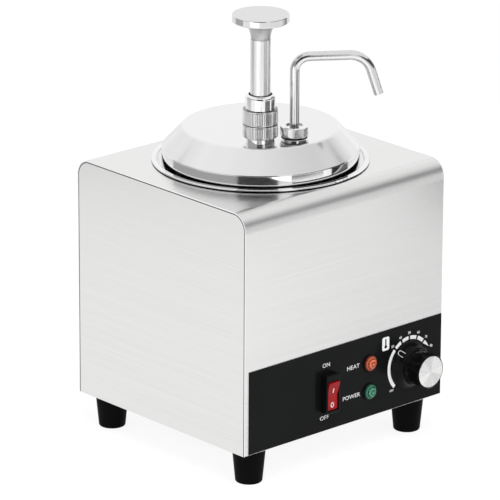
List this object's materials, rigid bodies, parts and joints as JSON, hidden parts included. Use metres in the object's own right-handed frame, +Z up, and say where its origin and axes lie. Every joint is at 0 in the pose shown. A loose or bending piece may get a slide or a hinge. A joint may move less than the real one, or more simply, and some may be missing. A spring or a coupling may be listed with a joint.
{
  "type": "hot fudge topping warmer",
  "caption": "Countertop topping warmer: brushed steel box on feet, round well with pot, lid with hand pump and swivel spout, thermostat knob, rocker switch and lamps.",
  "frame": {"origin": "middle of the whole object's outline, on the surface that the feet stand on", "axes": "+Z up, the front with the controls faces -Y, +X is to the right seen from the front"},
  "size_m": [0.23, 0.27, 0.39],
  "materials": {
    "brushed_steel": "fine satin grain",
    "polished_steel": "mirror polished stainless steel",
    "zinc_steel": "zinc plated",
    "black_panel": "satin printed film",
    "foot_rubber": "matt",
    "seal_rubber": "satin",
    "glass_wool": "fibrous mat",
    "cast_aluminium": "cast",
    "element_steel": "dark oxidised sheath",
    "copper": "drawn copper",
    "black_plastic": "semi gloss",
    "red_plastic": "gloss translucent",
    "amber_lens": "gloss translucent",
    "green_lens": "gloss translucent",
    "white_plastic": "moulded",
    "spun_aluminium": "spun face",
    "brass": "turned",
    "spring_steel": "drawn wire"
  },
  "bodies": {
    "housing": {"casing_wrap": "brushed_steel", "left_side_panel": "brushed_steel", "right_side_panel": "brushed_steel", "bottom_plate": "zinc_steel", "control_panel": "black_panel", "foot_front_left": "foot_rubber", "foot_front_right": "foot_rubber", "foot_rear_left": "foot_rubber", "foot_rear_right": "foot_rubber", "foot_screws": "zinc_steel", "foot_nuts": "zinc_steel", "well_tank": "brushed_steel", "insulation_jacket": "glass_wool", "heater_plate": "cast_aluminium", "heating_element": "element_steel", "heat_shield": "zinc_steel", "clamp_nuts": "zinc_steel", "temperature_sensor": "copper", "sensor_clip": "zinc_steel", "safety_cutout": "black_plastic", "thermostat_body": "zinc_steel", "thermostat_screws": "zinc_steel", "switch_housing": "black_plastic", "heat_lamp_body": "black_plastic", "heat_lamp_lens": "amber_lens", "power_lamp_body": "black_plastic", "power_lamp_lens": "green_lens", "gland_body": "black_plastic", "gland_seal": "seal_rubber", "gland_nut": "black_plastic", "gland_locknut": "black_plastic", "terminal_block": "white_plastic", "earth_screw": "brass"},
    "pot": {"pot": "polished_steel"},
    "lid": {"lid": "polished_steel", "pump_base": "polished_steel", "lower_ring": "polished_steel", "upper_ring": "polished_steel", "guide_bush": "white_plastic", "pump_cap": "polished_steel", "pump_gasket": "seal_rubber", "pump_cylinder": "polished_steel", "valve_body": "polished_steel", "discharge_tube": "polished_steel", "spout_base": "polished_steel", "spout_gasket": "seal_rubber", "spout_nut": "polished_steel", "spout_locknut": "polished_steel", "return_spring": "spring_steel"},
    "plunger": {"plunger_shaft": "polished_steel", "plunger_knob": "polished_steel", "piston": "white_plastic", "piston_seal": "seal_rubber"},
    "spout": {"spout_tube": "polished_steel"},
    "inlet_ball": {"valve_ball": "polished_steel"},
    "knob": {"thermostat_knob": "black_plastic", "knob_cap": "spun_aluminium", "thermostat_shaft": "zinc_steel"},
    "rocker": {"switch_rocker": "red_plastic"}
  },
  "joints": [
    {"name": "pot_lift", "type": "slide", "parent": "housing", "child": "pot", "axis": [0, 0, 1], "range_m": [0, 0.15]},
    {"name": "lid_lift", "type": "slide", "parent": "pot", "child": "lid", "axis": [0, 0, 1], "range_m": [0, 0.14]},
    {"name": "plunger_press", "type": "slide", "parent": "lid", "child": "plunger", "axis": [0, 0, -1], "range_m": [0, 0.04], "stiffness_N_per_m": 400, "springref_m": -0.03, "deforming": ["return_spring"]},
    {"name": "spout_swivel", "type": "hinge", "parent": "lid", "child": "spout", "pos_m": [-0.0048, -0.0466, 0.285], "axis": [0, 0, 1], "range_deg": [-75, 60]},
    {"name": "inlet_ball_lift", "type": "slide", "parent": "lid", "child": "inlet_ball", "axis": [0, 0, 1], "range_m": [0, 0.0055]},
    {"name": "thermostat_turn", "type": "hinge", "parent": "housing", "child": "knob", "pos_m": [0.0761, -0.107, 0.0696], "axis": [0, 1, 0], "range_deg": [-90, 112.4]},
    {"name": "power_rocker", "type": "hinge", "parent": "housing", "child": "rocker", "pos_m": [-0.0203, -0.112, 0.0659], "axis": [-1, 0, 0], "range_deg": [0, 14]}
  ]
}
